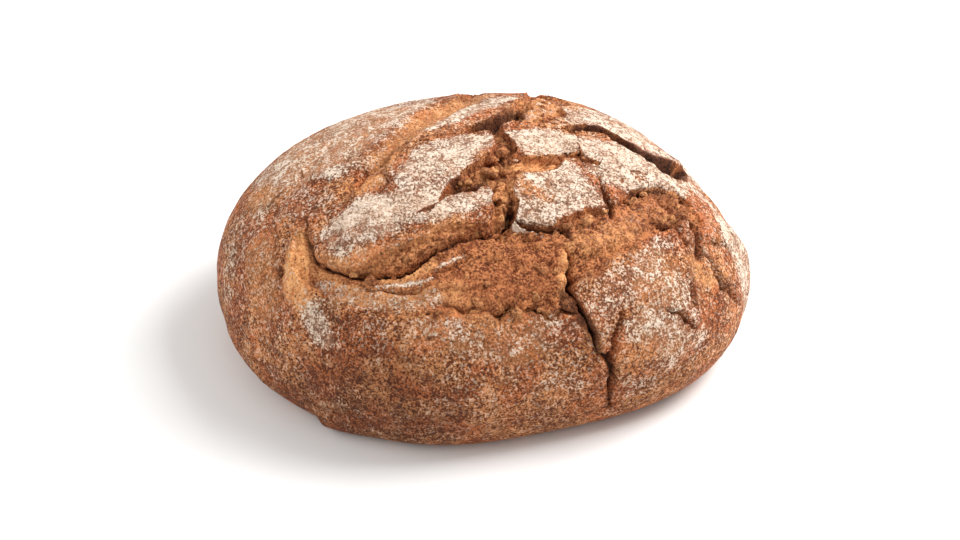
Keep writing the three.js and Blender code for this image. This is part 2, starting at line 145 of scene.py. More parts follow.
# Swells: pillows of skin, and a hollow, as (a, b, half length, half width, tilt, rise). One with a melt
# runs smoothly into the loaf between those two values of b.
SWELLS = {
    "tongue": ((-28, -49, 47, 27, 0.11, 6), (-26, -58)),
    "middle plate": ((34, -36, 26, 20, 1.25, 3), None),
    "left plate": ((-15, -18, 30, 18, 0.6, 2.5), None),
    "right plate": ((60, 0, 26, 15, -0.3, 2.5), None),
    "fold left of the tongue": ((-84, -58, 21, 11, 1.32, 3), None),
    "front right shoulder": ((88, -88, 36, 28, 0.8, 3), None),
    "hollow of the right shoulder": ((104, 10, 40, 26, 0.2, -2.6), None),
}

WALL = 2.5  # run of a tear's steep edge
LIP = 0.9  # how far the skin curls up along a tear
LIP_RUN = 2.5
SWELL_BACK = 12  # distance in from its edge at which the floor of a wide tear is level again
SWOLLEN = 0.85  # share of its depth that the floor has won back there
CRACK_FLAT = 0.15  # share of a crack's half width over which its bottom is flat
SWELL_POWER = 0.6  # under 1 makes the sides of a swell steeper
RAGGED = ((2.4, 11), (1.3, 4.5))  # strays of the tears' edges, in mm, and their wavelengths
UNEVEN = 1.6  # lumps of the whole loaf
UNEVEN_WAVE = 55
RUBBLE = 0.5  # lumps of the bare dough, as a share of its rubble
RUBBLE_WAVE = 9
FADE = (32, 8)  # distances from the bottom's edge between which the relief fades away

# ---- Form that only the fine grid can hold ----

PULL = 2.2  # grid points this near an edge of the relief are drawn towards it
OVERHANG = 1.6  # how far the skin leans out over a tear beside it
OVERHANG_RUN = 3
OVERHANG_AT = 0.5  # distance from the tear at which it leans most
FINE_RAGGED = (0.7, 2.0)
KNOB_HEIGHT = 1.3  # knobs of the torn dough, as a share of its rubble
KNOB_SIZE = 5.5
KNOB_LEVEL = 0.7  # share of a knob that is below the level of the dough
CRUMB = ((0.8, 3.4), (0.45, 1.7))  # finer lumps of it, and their wavelengths
WRINKLE = 0.9  # wrinkles of the stretched skin under the tongue
WRINKLE_ALONG = 20
WRINKLE_ACROSS = 3.4
WRINKLE_RIGHT = (40, 0)  # values of a, and then of b, between which they set in
WRINKLE_BACK = (-70, -80)
WRINKLE_FRONT = (-112, -98)
SKIN = ((0.4, 16), (0.22, 5), (0.14, 2.2))  # waves of the whole skin
PIT = 0.7  # pits all over the skin
PIT_WAVE = 2.8
BLISTER = 1.6  # depth of the bubbles blown in the stretched skin
BLISTER_SPACING = 6.5
BLISTER_PATCH = 14  # size of the patches with and without bubbles

# the painted shade in tears, cracks and bubbles, which darkens with their depth
DEEP_TEAR = 6  # depth of a tear at which its painted shade is full
DEEP_CRACK = 5
DEEP_BLISTER = 1.1  # painted shade that the material puts in a bubble


def ease(t):
    return t * t * (3 - 2 * t)


def ramp(x, start, end):
    return ease(np.clip((x - start) / (end - start), 0, 1))


def hashed(i, j, k, turn=0):
    """A number from 0 to 1 for a point of a grid, by the usual sine hash."""
    value = np.sin(i * 127.1 + j * 311.7 + k * 74.7 + turn) * 43758.5453
    return value - np.floor(value)


def noise(points, wave, seed):
    """Smooth noise from -1 to 1, the same for the same place."""
    x, y, z = points[0] / wave + seed, points[1] / wave, points[2] / wave
    i, j, k = np.floor(x), np.floor(y), np.floor(z)
    u, v, w = ease(x - i), ease(y - j), ease(z - k)
    total = 0
    for di, dj, dk in product((0, 1), repeat=3):
        share = (u if di else 1 - u) * (v if dj else 1 - v) * (w if dk else 1 - w)
        total = total + share * hashed(i + di, j + dj, k + dk)
    return 2 * total - 1


def layers(points, sizes, seed):
    """The sum of several noises, given as their heights and wavelengths."""
    return sum(size * noise(points, wave, seed + i) for i, (size, wave) in enumerate(sizes))


def knobs(points, size, seed):
    """Rounded knobs from 0 to 1, one in each cell of a grid of this size."""
    place = (points[0] / size + seed, points[1] / size, points[2] / size)
    home = [np.floor(x) for x in place]
    nearest = np.full_like(place[0], np.inf)
    for step in product((-1, 0, 1), repeat=3):
        cell = [start + move for start, move in zip(home, step)]
        away = 0
        for axis in range(3):
            away = away + (cell[axis] + hashed(*cell, 19.19 * axis) - place[axis]) ** 2
        nearest = np.minimum(nearest, away)
    return 1 - np.minimum(nearest, 1)


# ---- The loaf without its tears ----

def outline(angle):
    """The outline seen from above, as the distance from the middle."""
    ellipse = 1 / np.hypot(np.cos(angle) / (LENGTH / 2), np.sin(angle) / (WIDTH / 2))
    stray = sum(sine * np.sin(n * angle) + cosine * np.cos(n * angle) for n, sine, cosine in OUTLINE_WAVES)
    dents = sum(depth * np.exp(-(((angle - at) / spread) ** 2)) for depth, at, spread in DENTS)
    return ellipse * (1 + stray - dents)


def average_meridian():
    """Distances down the crust from the crown to the edge of the flat bottom, and there the reach, as a
    share of the outline, and the height."""
    upper = np.linspace(0, math.pi / 2, MERIDIAN_STEPS + 1)
    lower = np.linspace(0, math.pi / 2, MERIDIAN_STEPS // 2 + 1)[1:]
    crown = np.maximum(np.cos(upper), 0) ** CROWN_POWER
    reach = np.r_[np.sin(upper) ** CROWN_POWER, FOOT_SHARE + (1 - FOOT_SHARE) * np.cos(lower)]
    height = np.r_[BELLY_HEIGHT + (HEIGHT - BELLY_HEIGHT) * crown, BELLY_HEIGHT * (1 - np.sin(lower))]
    steps = np.hypot(np.diff(reach) * (LENGTH + WIDTH) / 4, np.diff(height))
    return np.r_[0, np.cumsum(steps)], reach, height


DOWN, REACH, LEVEL = average_meridian()
CRUST_REACH = DOWN[-1]
BELLY_REACH = DOWN[MERIDIAN_STEPS]


def smooth_points(a, b):
    """Where points of the crust map lie on the smooth loaf."""
    down = np.hypot(a, b)
    angle = np.arctan2(b, a)
    along = ramp(angle, FLARE_FROM, FLARE_FROM + FLARE_START) * (1 - ramp(angle, FLARE_FROM, FLARE_TO))
    flare = FOOT_FLARE * along * ramp(down, BELLY_REACH, CRUST_REACH - FLARE_FULL)
    radius = np.interp(down, DOWN, REACH) * outline(angle) + flare
    return np.stack([radius * np.cos(angle), radius * np.sin(angle), np.interp(down, DOWN, LEVEL)])


def smooth_frame(a, b):
    """Unit vectors along a, along b and out of the smooth loaf."""
    step = 0.5
    along = smooth_points(a + step, b) - smooth_points(a - step, b)
    across = smooth_points(a, b + step) - smooth_points(a, b - step)
    out = np.cross(along, across, axis=0)
    return [v / np.linalg.norm(v, axis=0) for v in (along, across, out)]


# ---- Relief of the crust ----

def beside(line, a, b):
    """For each stretch of a line: the distance of each point from it, the direction away from it, and the
    half width there."""
    tiny = 1e-9  # keeps the direction defined on the line itself
    for (a0, b0, w0), (a1, b1, w1) in zip(line, line[1:]):
        da, db = a1 - a0, b1 - b0
        t = np.clip(((a - a0) * da + (b - b0) * db) / (da * da + db * db), 0, 1)
        off_a, off_b = a - a0 - t * da, b - b0 - t * db
        distance = np.hypot(off_a, off_b) + tiny
        yield distance, off_a / distance, off_b / distance, w0 + t * (w1 - w0)


def into_tears(a, b):
    """How far in from the nearest edge of a tear each point is, negative outside, and the way out."""
    inside = np.full_like(a, -np.inf)
    out_a, out_b = np.zeros_like(a), np.zeros_like(a)
    for _, _, line in TEARS.values():
        for distance, away_a, away_b, half in beside(line, a, b):
            nearer = half - distance > inside
            inside = np.where(nearer, half - distance, inside)
            out_a, out_b = np.where(nearer, away_a, out_a), np.where(nearer, away_b, out_b)
    return inside, out_a, out_b


def ragged(a, b):
    """Strays from the drawn lines, so that the edges come out ragged."""
    points = smooth_points(a, b)
    strays = RAGGED + (FINE_RAGGED,)
    return a + layers(points, strays, seed=10), b + layers(points, strays, seed=20)


def drawn(distance):
    """How much closer to an edge a grid point is drawn that lies this far from it."""
    return distance - distance * np.minimum(np.abs(distance) / PULL, 1)


def drawn_to_edges(a, b):
    """Draws the grid points near an edge of a tear, and then near the bottom of a crack, closer to it."""
    wa, wb = ragged(a, b)
    inside, out_a, out_b = into_tears(wa, wb)
    move_a, move_b = drawn(inside) * out_a, drawn(inside) * out_b
    a, b, wa, wb = a + move_a, b + move_b, wa + move_a, wb + move_b
    nearest = np.full_like(a, np.inf)
    move_a, move_b = np.zeros_like(a), np.zeros_like(a)
    for line in CRACKS.values():
        for distance, away_a, away_b, _ in beside(line, wa, wb):
            nearer = distance < nearest
            nearest = np.where(nearer, distance, nearest)
            move_a = np.where(nearer, -drawn(distance) * away_a, move_a)
            move_b = np.where(nearer, -drawn(distance) * away_b, move_b)
    return a + move_a, b + move_b


def swell_height(a, b):
    total = 0
    for (a0, b0, long, wide, tilt, rise), melt in SWELLS.values():
        along = ((a - a0) * math.cos(tilt) + (b - b0) * math.sin(tilt)) / long
        across = ((b - b0) * math.cos(tilt) - (a - a0) * math.sin(tilt)) / wide
        pillow = rise * np.maximum(1 - along**2 - across**2, 0) ** SWELL_POWER
        total = total + (pillow * ramp(b, *melt) if melt else pillow)
    return total


def furrow_depth(lines, depth, flat, a, b):
    """Depth of furrows, as a multiple of their half width, that are flat over a share of it."""
    total = np.zeros_like(a)
    for line in lines.values():
        for distance, _, _, half in beside(line, a, b):
            total = np.maximum(total, depth * half * (1 - ramp(distance / half, flat, 1)))
    return total


def tear_floor(a, b):
    """How far the floor of the tears drops, and the height of the rubble on it."""
    drop, rubble = 0, 0
    for depth, rough, line in TEARS.values():
        within = np.max([half - distance for distance, _, _, half in beside(line, a, b)], axis=0)
        floor = depth * (1 - SWOLLEN * ramp(within, WALL, SWELL_BACK))
        drop = np.maximum(drop, floor * ramp(within, 0, WALL))
        rubble = np.maximum(rubble, rough * ramp(within, 0, WALL))
    return drop, rubble


def dough_height(points, rubble, bare):
    """Lumps, knobs and crumb of the torn dough."""
    lumps = RUBBLE * noise(points, RUBBLE_WAVE, seed=30)
    lumps = lumps + KNOB_HEIGHT * (knobs(points, KNOB_SIZE, seed=3) - KNOB_LEVEL)
    return rubble * lumps + bare * layers(points, CRUMB, seed=31)


def wrinkle_height(a, b):
    """Wrinkles of the stretched skin, which run along a."""
    stretch = ramp(a, *WRINKLE_RIGHT) * ramp(b, *WRINKLE_BACK) * ramp(b, *WRINKLE_FRONT)
    stretched = np.stack([a / WRINKLE_ALONG, b / WRINKLE_ACROSS, np.zeros_like(a)])
    return WRINKLE * noise(stretched, 1, seed=60) * stretch


def blister_share(points, a, b):
    """1 in the blown bubbles, and 0 beside them."""
    blown = ramp(knobs(points, BLISTER_SPACING, seed=9), 0.93, 0.975)
    patches = ramp(noise(points, BLISTER_PATCH, seed=71), -0.1, 0.3)
    return blown * patches * laid(BLOWN, a, b, soft=4)


def relief(a, b, points):
    """Height of the crust over the smooth loaf, how far it leans along a and b, how far inside a tear each
    point is, and what the material reads."""
    wa, wb = ragged(a, b)
    inside, out_a, out_b = into_tears(wa, wb)
    melt = ramp(wb, *BAND_MELT[0]) * ramp(wa, *BAND_MELT[1])
    drop, rubble = [part * (1 - melt) for part in tear_floor(wa, wb)]
    bare = ramp(inside, 0, WALL) * (1 - MELTED * melt)
    cleft = furrow_depth(CRACKS, CRACK_DEPTH, CRACK_FLAT, wa, wb)
    valley = furrow_depth(VALLEYS, VALLEY_DEPTH, 0, wa, wb)
    blown = blister_share(points, wa, wb)

    lip = np.where(inside < 0, LIP * np.exp(np.minimum(inside, 0) / LIP_RUN) * (1 - melt), 0)
    skin = layers(points, SKIN, seed=50) - PIT * ramp(noise(points, PIT_WAVE, seed=70), 0.45, 0.75)
    skin = skin - BLISTER * blown + UNEVEN * noise(points, UNEVEN_WAVE, seed=40)
    raised = swell_height(wa, wb) + lip + dough_height(points, rubble, bare) + wrinkle_height(wa, wb)
    fade = 1 - ramp(np.hypot(a, b), CRUST_REACH - FADE[0], CRUST_REACH - FADE[1])
    height = fade * (raised + skin - drop - cleft - valley)

    lean = fade * OVERHANG * np.exp(-(((inside + OVERHANG_AT) / OVERHANG_RUN) ** 2))
    # painted shade that grows with the depth of tears, cracks and bubbles
    pit = fade * np.maximum(np.maximum(drop / DEEP_TEAR, cleft / DEEP_CRACK), DEEP_BLISTER * blown)
    return height, (-lean * out_a, -lean * out_b), inside, {"bare": bare, "pit": pit}


# ---- What lies on the crust, and where light and shade are painted: how much, and along which line of (a, b, half width) ----

FLOUR = {
    "left plate": (0.78, [(-31, -37, 8), (-22, -39, 8), (-24, -24, 13), (-16, -18, 14)]),
    "left plate, right part": (0.88, [(-18, -14, 12), (-3, -4, 9), (3, 1, 6)]),
    "middle plate": (0.84, [(32, -22, 14), (36, -36, 19)]),
    "middle plate, front": (0.8, [(34, -42, 16), (25, -55, 11)]),
    "back plate": (1.05, [(16, 3, 8), (33, 4, 11)]),
    "right plate": (0.95, [(48, 2, 10), (60, -4, 17), (82, -3, 9)]),
    "streak": (1, [(-23, 13, 3), (-14, 25, 5), (-5, 36, 6), (4, 44, 7), (13, 56, 6)]),
    "tongue": (1.05, [(-60, -45, 7), (-46, -43, 12), (-20, -48, 10)]),
    "tongue, right part": (0.85, [(-20, -48, 10), (6, -44, 7)]),
    "tongue, face": (0.85, [(-58, -53, 5), (-50, -55, 7), (-38, -56, 5)]),
    "tongue, left": (0.72, [(-67, -46, 4), (-64, -55, 5), (-59, -60, 4)]),
    "left shoulder": (0.65, [(-92, 14, 14), (-74, 14, 24), (-58, 6, 22), (-56, 20, 25), (-50, 40, 22),
                             (-42, 64, 20)]),
    "beside the back valley": (0.95, [(-40, 20, 4), (-36, 36, 4), (-29, 54, 5)]),
    "left rim": (0.45, [(-132, -30, 12), (-116, -16, 14), (-84, -16, 12), (-66, -30, 8)]),
    "right shoulder": (0.76, [(48, 34, 10), (64, 42, 18), (82, 42, 26), (104, 34, 20)]),
    "right rim": (0.85, [(110, -5, 6), (121, -13, 12), (137, -19, 12), (152, -23, 9)]),
    "below the right shoulder": (0.9, [(80, -2, 6), (92, 6, 6), (101, 8, 5), (108, 3, 5)]),
    "right flank": (0.55, [(82, -44, 5), (80, -62, 8), (70, -78, 9), (63, -98, 7)]),
    "right flank, outer": (0.5, [(78, -66, 8), (98, -62, 9), (108, -68, 9)]),
    "front foot": (0.5, [(44, -134, 5), (66, -130, 6)]),
    "beside the front crack": (0.6, [(100, -118, 7), (112, -110, 6)]),
    "right flank, low": (0.57, [(84, -92, 8), (96, -80, 13), (112, -90, 12), (122, -74, 8)]),
    "left front": (0.75, [(-82, -82, 7), (-80, -98, 7)]),
    "beside the fold": (0.5, [(-76, -70, 4), (-70, -86, 5)]),
    "front": (0.45, [(-24, -108, 6), (2, -116, 6), (24, -120, 6), (42, -108, 8), (56, -108, 5)]),
    "back": (0.5, [(-60, 110, 30), (0, 120, 26), (60, 104, 30), (104, 60, 22)]),
}

# flour that lies on bare dough as well as on skin
DUSTED = {
    "lip under the tongue": (1.2, [(-50, -81, 0.4), (-38, -84, 0.9), (-28, -85, 0.9), (-22, -84, 0.4)]),
    "second lip": (1.1, [(-21, -80, 0.4), (-13, -77, 0.7), (-7, -75, 0.4)]),
    "lip under the middle plate": (1.3, [(20, -60, 1.2), (25, -62, 1.8), (33, -62, 1)]),
    "top": (0.42, [(22, 30, 5), (28, 40, 8), (36, 56, 10)]),
    "stretched patch": (0.2, [(-50, -28, 4), (-42, -16, 5)]),
    "fold left of the tongue": (0.25, [(-82, -43, 1), (-86, -54, 3), (-88, -66, 3)]),
    "band, left part": (0.48, [(-76, -70, 3), (-68, -78, 5), (-56, -86, 6), (-40, -92, 6), (-22, -94, 5)]),
    "band, right part": (0.09, [(52, -58, 8), (62, -50, 8), (72, -34, 8), (84, -22, 7)]),
}
THIN_FLOUR = 0.26  # what the rest of the skin keeps
FLOUR_REACH = 120  # distance down the crust from where there is less and less
LOW_LOSS = 0.5  # share of it that is missing at the bottom's edge

# where most of the flour has been rubbed off
WORN = {
    "back valley": (0.5, [(-58, -30, 5), (-51, -18, 6), (-42, -8, 6), (-34, 3, 6), (-28, 14, 7),
                          (-25, 27, 8), (-18, 40, 8), (-10, 51, 8), (-3, 64, 8)]),
    "right flank": (0.6, [(98, -45, 3), (104, -48, 4), (110, -47, 3)]),
    "lower left": (0.5, [(-88, -106, 8), (-70, -120, 14), (-40, -134, 14)]),
    "left of the middle plate": (0.5, [(22, -33, 4), (27, -38, 5), (34, -41, 3)]),
    "on the right plate": (0.7, [(65, -12, 1.5), (70, -11, 1.5)]),
    "side of the middle plate": (0.8, [(50, -44, 3), (53, -52, 4)]),
}

# where bubbles have blown in the skin
BLOWN = {
    "lower edge of the band": (1, [(-30, -98, 7), (0, -103, 7), (30, -103, 7), (48, -96, 6)]),
    "band": (0.7, [(-60, -82, 6), (-20, -90, 8), (20, -84, 14), (52, -62, 8)]),
    "wall of the tongue": (1, [(-60, -64, 4), (-36, -68, 6), (-10, -60, 6), (8, -56, 5)]),
    "left of the fold": (0.6, [(-100, -50, 8), (-96, -76, 8)]),
    "right flank": (0.8, [(76, -34, 8), (100, -36, 8), (112, -56, 10)]),
    "front": (0.5, [(-60, -110, 14), (0, -124, 14), (60, -124, 12)]),
}

# where the crust is stretched and pale, and a painted highlight on the lit wall beside the front crack
PALE_AND_HIGHLIT = {
    "fold left of the tongue": (1, [(-79, -42, 3), (-81, -50, 5.5), (-84.5, -59, 6.5), (-87, -68, 5),
                                    (-85, -76, 2.5)]),
    "right of the fold": (0.6, [(-77, -54, 2), (-75, -62, 3), (-69, -72, 4), (-59, -79, 3)]),
    "left end of the tongue": (0.35, [(-72, -60, 4), (-64, -66, 5), (-54, -68, 4)]),
    "left flank": (0.25, [(-104, -38, 10), (-106, -60, 12)]),
    "stretched patch": (0.8, [(-50, -26, 4), (-45, -22, 5)]),
    "back valley": (0.4, [(-42, -8, 5), (-34, 3, 5), (-28, 14, 6), (-25, 27, 8), (-18, 40, 8), (-10, 51, 8),
                          (-3, 64, 8)]),
    "between the tongue and its lip": (0.9, [(-54, -74, 1), (-42, -80, 2), (-32, -81, 2), (-22, -77, 1.5)]),
    "under the tongue": (0.4, [(-66, -80, 5), (-36, -92, 5), (-12, -92, 5)]),
    "valley": (0.7, [(4, -26, 3), (14, -32, 4), (12, -56, 4)]),
    "wall of the tongue": (0.3, [(-60, -66, 4), (-36, -70, 5), (-10, -61, 5)]),
    "middle plate, back": (0.8, [(16, -15, 4), (33, -11, 4)]),
    "top": (0.45, [(24, 32, 7), (32, 50, 12)]),
    "left shoulder": (0.3, [(-90, 2, 16), (-62, 16, 20), (-54, 40, 20)]),
    "right flank, low": (0.2, [(84, -60, 12), (96, -84, 14)]),
    "front": (0.22, [(-24, -108, 8), (2, -114, 12), (28, -116, 12)]),
    "right of the middle plate": (0.3, [(50, -64, 6), (60, -56, 7), (68, -44, 6)]),
    # painted highlight on the lit left wall of the front crack
    "beside the front crack": (1, [(46, -64, 0.8), (45.5, -72, 1.8), (45, -82, 2), (46.5, -91, 1)]),
    "right flank": (0.35, [(98, -45, 3), (104, -48, 4), (110, -47, 3)]),
}

# painted shade in deep tears, hairline cracks and pinholes, which also keeps the flour out of them
PAINTED_SHADE = {
    "right shoulder": (1.1, [(46, 24, 2.5), (57, 27, 4), (66, 19, 4.5), (72, 13, 7), (80, 12, 9),
                             (89, 15, 10), (97, 24, 6)]),
    "crown": (0.85, [(-12, -37, 2.5), (-4, -34, 4), (2, -31, 3), (8, -22, 2)]),
    "top": (0.9, [(-3, 11, 4), (3, 16, 6), (10, 22, 6), (17, 31, 6), (21, 37, 4)]),
    "crown, upper part": (0.27, [(12, -4, 5), (11, 6, 5), (9, 12, 4)]),
    "middle": (0.7, [(19, -46, 2), (18, -57, 2.5)]),
    "middle plate, foot": (0.62, [(23, -58, 1), (34, -58, 2), (45, -57, 1.5)]),
    "beside the middle plate": (0.7, [(52, -24, 1.5), (58, -36, 2)]),
    "under the right plate": (0.8, [(64, -20, 1.5), (76, -13, 1.8), (88, -10, 1.5)]),
    "gully": (0.8, [(-43, -12, 0.8), (-39, -8, 1), (-36, -3, 0.6)]),
    "above the left plate": (0.6, [(-36, -3, 0.5), (-30, -1, 0.8), (-24, 1, 0.6), (-18, 3, 0.4)]),
    "crown, end": (1.1, [(-36, -48.5, 0.7), (-28, -50.5, 1.1), (-18, -46, 1.5)]),
    "hole in the crown tear": (1, [(-13, -31, 1.2), (-8, -29.5, 2), (-3, -28, 1.2)]),
    "outer end of the band": (0.35, [(80, -18, 4), (88, -24, 6), (94, -32, 4)]),
    "band, right part": (0.14, [(68, -34, 4), (78, -31, 6), (88, -34, 5)]),
    "band, along the tongue": (0.1, [(-2, -79, 4), (8, -75, 5), (20, -72, 4)]),
    "left shoulder": (1.3, [(-94, -13, 0.4), (-87, -9, 0.5)]),
    "left shoulder, nearer": (1.3, [(-77, -35, 0.4), (-71, -28, 0.5)]),
    "left shoulder, farther": (1.2, [(-76, 0, 0.3), (-76, -4, 0.3)]),
    "left shoulder, middle": (1.3, [(-72, -10, 0.5), (-70, -13, 0.5)]),
    "below the fold": (1.2, [(-73, -85, 0.2), (-70, -91, 0.4), (-66, -97, 0.2)]),
    "hole below the band": (1.4, [(-41, -106, 0.5), (-40, -108, 0.5)]),
    "second hole below the band": (1.4, [(-26, -112, 0.5), (-23, -112, 0.5)]),
    "hairline below the band": (1.1, [(27, -110, 0.3), (34, -114, 0.3), (40, -117, 0.3), (46, -115, 0.3)]),
    "lower right": (0.7, [(97, -74, 0.8), (106, -73, 1.5), (114, -72, 0.8)]),
    "left of the fold": (0.9, [(-94.5, -57, 0.6), (-93, -52, 0.9)]),
    "hole below the fold": (1.3, [(-78, -82, 0.5), (-76, -82, 0.5)]),
    "on the right plate": (1, [(63, -9, 0.6), (66, -8, 0.7), (70, -7, 0.5)]),
    "hole in the right plate": (1.1, [(60, -15, 0.5), (60, -16.5, 0.5)]),
    "right flank": (0.8, [(79, -34, 1.5), (86, -33, 1.5)]),
    "above the right flank": (0.8, [(97, -30, 1.5), (101, -38, 2)]),
    "rim": (0.62, [(106, -27, 0.8), (117, -21, 0.8)]),
    "below the rim": (0.4, [(104, -37, 2), (116, -41, 3), (136, -38, 3)]),
    "right flank, outer": (0.7, [(102, -57, 1), (106, -62, 1)]),
    "front crack": (1, [(46, -90, 2), (52, -95, 4.5), (60, -100, 5), (65, -104, 4.5), (71, -110, 2.5)]),
    "front, lower part": (0.75, [(78, -110, 1.6), (83, -115, 2), (88, -122, 2), (93, -129, 1.2)]),
    "lower edge of the band": (0.4, [(13, -107, 2), (18, -105, 1)]),
    "lower edge of the band, right": (0.4, [(30, -105, 2), (47, -100, 2)]),
}

# where the crust is browned most; on the left side, the lower left and the left rim this is also painted
# shade, darker away from the key light
TOASTED_AND_SHADED = {
    "left side": (1, [(-126, -104, 14), (-84, -140, 30), (-30, -156, 22)]),
    "lower left": (1, [(-84, -108, 8), (-68, -120, 16), (-44, -132, 14), (-22, -142, 8)]),
    "foot": (0.6, [(-150, -84, 4), (-90, -150, 10), (0, -166, 14), (80, -150, 6), (140, -90, 4)]),
    "left rim": (0.6, [(-150, 0, 6), (-149, -30, 8), (-147, -62, 10)]),
    "back edge": (0.6, [(-40, 160, 20), (60, 160, 20)]),
}


def laid(places, a, b, soft):
    """How much lies at each point, where the edges of the lines are this soft."""
    amount = np.zeros_like(a)
    for most, line in places.values():
        for distance, _, _, half in beside(line, a, b):
            amount = np.maximum(amount, most * ramp(half - distance, -soft, soft))
    return amount


def flour_cover(a, b, inside):
    """How thick the flour lies on points that are this far inside a tear."""
    soft = ramp(a, 44, 60) * ramp(b, -36, -46)  # the skin of the right flank runs into the dough
    on_skin = 1 - ramp(inside, -0.5 - 2.5 * soft, 0.3 + 5 * soft)
    low = ramp(np.hypot(a, b), FLOUR_REACH, CRUST_REACH)
    cover = np.maximum(laid(FLOUR, a, b, soft=4), THIN_FLOUR) * on_skin * (1 - LOW_LOSS * low)
    cover = cover * (1 - laid(WORN, a, b, soft=3))
    return np.maximum(cover, laid(DUSTED, a, b, soft=1.2))


# ---- Crumbs: knobs of dough in the tears, and chips of floured skin along their edges ----

CRUMB_PLACES = {
    "crown": (1, [(-16, -44, 3), (-12, -38, 6), (-5, -33, 9), (5, -25, 10), (11, -14, 9), (12, -4, 6)]),
    "crown, upper part": (0.8, [(12, -4, 6), (11, 8, 6), (9, 18, 5), (2, 12, 5)]),
    "middle": (1, [(12, -18, 8), (14, -32, 9), (14, -44, 9), (13, -58, 8)]),
    "middle plate, back": (1, [(14, -14, 8), (22, -18, 9), (30, -12, 8), (42, -8, 4)]),
    "under the tongue": (0.8, [(-72, -58, 3), (-56, -67, 4), (-40, -70, 6), (-24, -65, 6), (-8, -60, 6),
                               (8, -60, 6)]),
    "middle plate, foot": (0.9, [(17, -61, 4), (30, -60, 4), (44, -56, 4), (54, -44, 4), (58, -32, 4)]),
    "right shoulder": (0.9, [(44, 20, 4), (58, 24, 4), (66, 15, 4), (80, 7, 5), (92, 14, 4)]),
    "under the right plate": (0.8, [(60, -28, 4), (72, -14, 4), (90, -13, 4), (100, -26, 5)]),
    "right flank": (0.6, [(80, -24, 5), (92, -24, 5), (104, -32, 5)]),
    "back left": (0.35, [(-8, 70, 8), (-4, 88, 6)]),
    "back right": (0.35, [(20, 22, 6), (29, 36, 12), (32, 50, 10)]),
    "front band": (0.06, [(-60, -84, 8), (-30, -92, 14), (10, -92, 16), (36, -84, 16), (60, -50, 12)]),
    "lower edge of the band": (0.6, [(0, -104, 3), (12, -106, 3), (30, -104, 3), (47, -99, 4)]),
    "front crack": (0.6, [(49, -92, 3), (57, -102, 4), (66, -108, 4)]),
}
KNOB_EDGE = (-0.3, 1.2)  # how far inside a tear the knobs set in
CHIP_PLACES = ("crown", "middle", "middle plate, foot")
CHIP_EDGE = (0.8, 0.8)  # how far inside a tear the chips lie, and their spread
CRUMB_AREA = ((-80, 110), (-110, 90))  # values of a and b between which they are thrown
CRUMB_POWER = 1.6  # over 1 makes small ones more common
CRUMB_WIDTH = 0.8  # as a share of the length
CRUMB_GAP = 0.7  # least distance between two, as a share of their radii together
CRUMB_ROUGH = ((0.9, 2.3), (0.6, 1.1))  # lumps of their surface, as a share of the radius, and wavelengths


class Throw(NamedTuple):
    """How crumbs of one kind are thrown."""
    number: int
    least: float  # radius of the smallest
    most: float  # radius of the largest
    squash: float  # height, as a share of the length
    sunk: float  # how deep they sit, as a share of the radius
    tip: float  # how far they are tipped at most, in radians
    flour: float


KNOB_THROW = Throw(number=9000, least=1.0, most=4.0, squash=0.8, sunk=0.55, tip=3, flour=0)
CHIP_THROW = Throw(number=4000, least=1.0, most=2.4, squash=0.22, sunk=0.1, tip=0.6, flour=0.5)


# ---- The mesh ----

def box_grid():
    """Corners of an evenly divided box of half side 1, without doubles, and its square faces."""
    index = {}
    faces = []
    for axis, sign in product(range(3), (-1, 1)):
        ids = np.empty((CELLS + 1, CELLS + 1), int)
        for i, j in product(range(CELLS + 1), repeat=2):
            corner = [0, 0, 0]
            corner[axis] = CELLS if sign > 0 else 0
            corner[(axis + 1) % 3] = i
            corner[(axis + 2) % 3] = j
            ids[i, j] = index.setdefault(tuple(corner), len(index))
        quads = np.stack([ids[:-1, :-1], ids[1:, :-1], ids[1:, 1:], ids[:-1, 1:]], -1).reshape(-1, 4)
        faces.append(quads if sign > 0 else quads[:, ::-1])
    return np.array(list(index)).T / CELLS * 2 - 1, np.concatenate(faces)


def loaf_points(corners):
    """Spreads points of the box over the loaf: its upper part over the crust, and the rest over the flat
    bottom. Gives their places and what the material reads."""
    x, y, z = np.tan(corners * math.pi / 4)
    polar = np.arctan2(np.hypot(x, y), z)
    angle = np.arctan2(y, x)
    t = np.minimum(polar / BASE_POLAR, 1)
    down = CRUST_REACH * (CROWN_DENSITY * t + (1 - CROWN_DENSITY) * t**3)
    a, b = drawn_to_edges(down * np.cos(angle), down * np.sin(angle))
    smooth = smooth_points(a, b)
    height, lean, inside, looks = relief(a, b, smooth)
    along, across, out = smooth_frame(a, b)
    points = smooth + height * out + lean[0] * along + lean[1] * across
    looks["flour"] = flour_cover(a, b, inside)
    looks["pale"] = laid(PALE_AND_HIGHLIT, a, b, soft=3)
    looks["toasted"] = laid(TOASTED_AND_SHADED, a, b, soft=20)
    looks["painted_shade"] = laid(PAINTED_SHADE, a, b, soft=1.5)

    bottom = polar >= BASE_POLAR
    share = (math.pi - polar) / (math.pi - BASE_POLAR)
    edge = smooth_points(CRUST_REACH * np.cos(angle), CRUST_REACH * np.sin(angle))
    points = np.where(bottom, edge * share, points)
    points[2] = np.where(bottom, 0, points[2])
    return points, looks


def add_object(name, data):
    made = bpy.data.objects.new(name, data)
    bpy.context.scene.collection.objects.link(made)
    return made


def make_piece(name, points, faces, looks):
    mesh = bpy.data.meshes.new(name)
    mesh.from_pydata((points.T * MM).tolist(), [], faces.tolist())
    mesh.shade_smooth()
    for attribute, values in looks.items():
        mesh.attributes.new(attribute, "FLOAT", "POINT").data.foreach_set("value", values.astype(np.float32))
    return add_object(name, mesh)


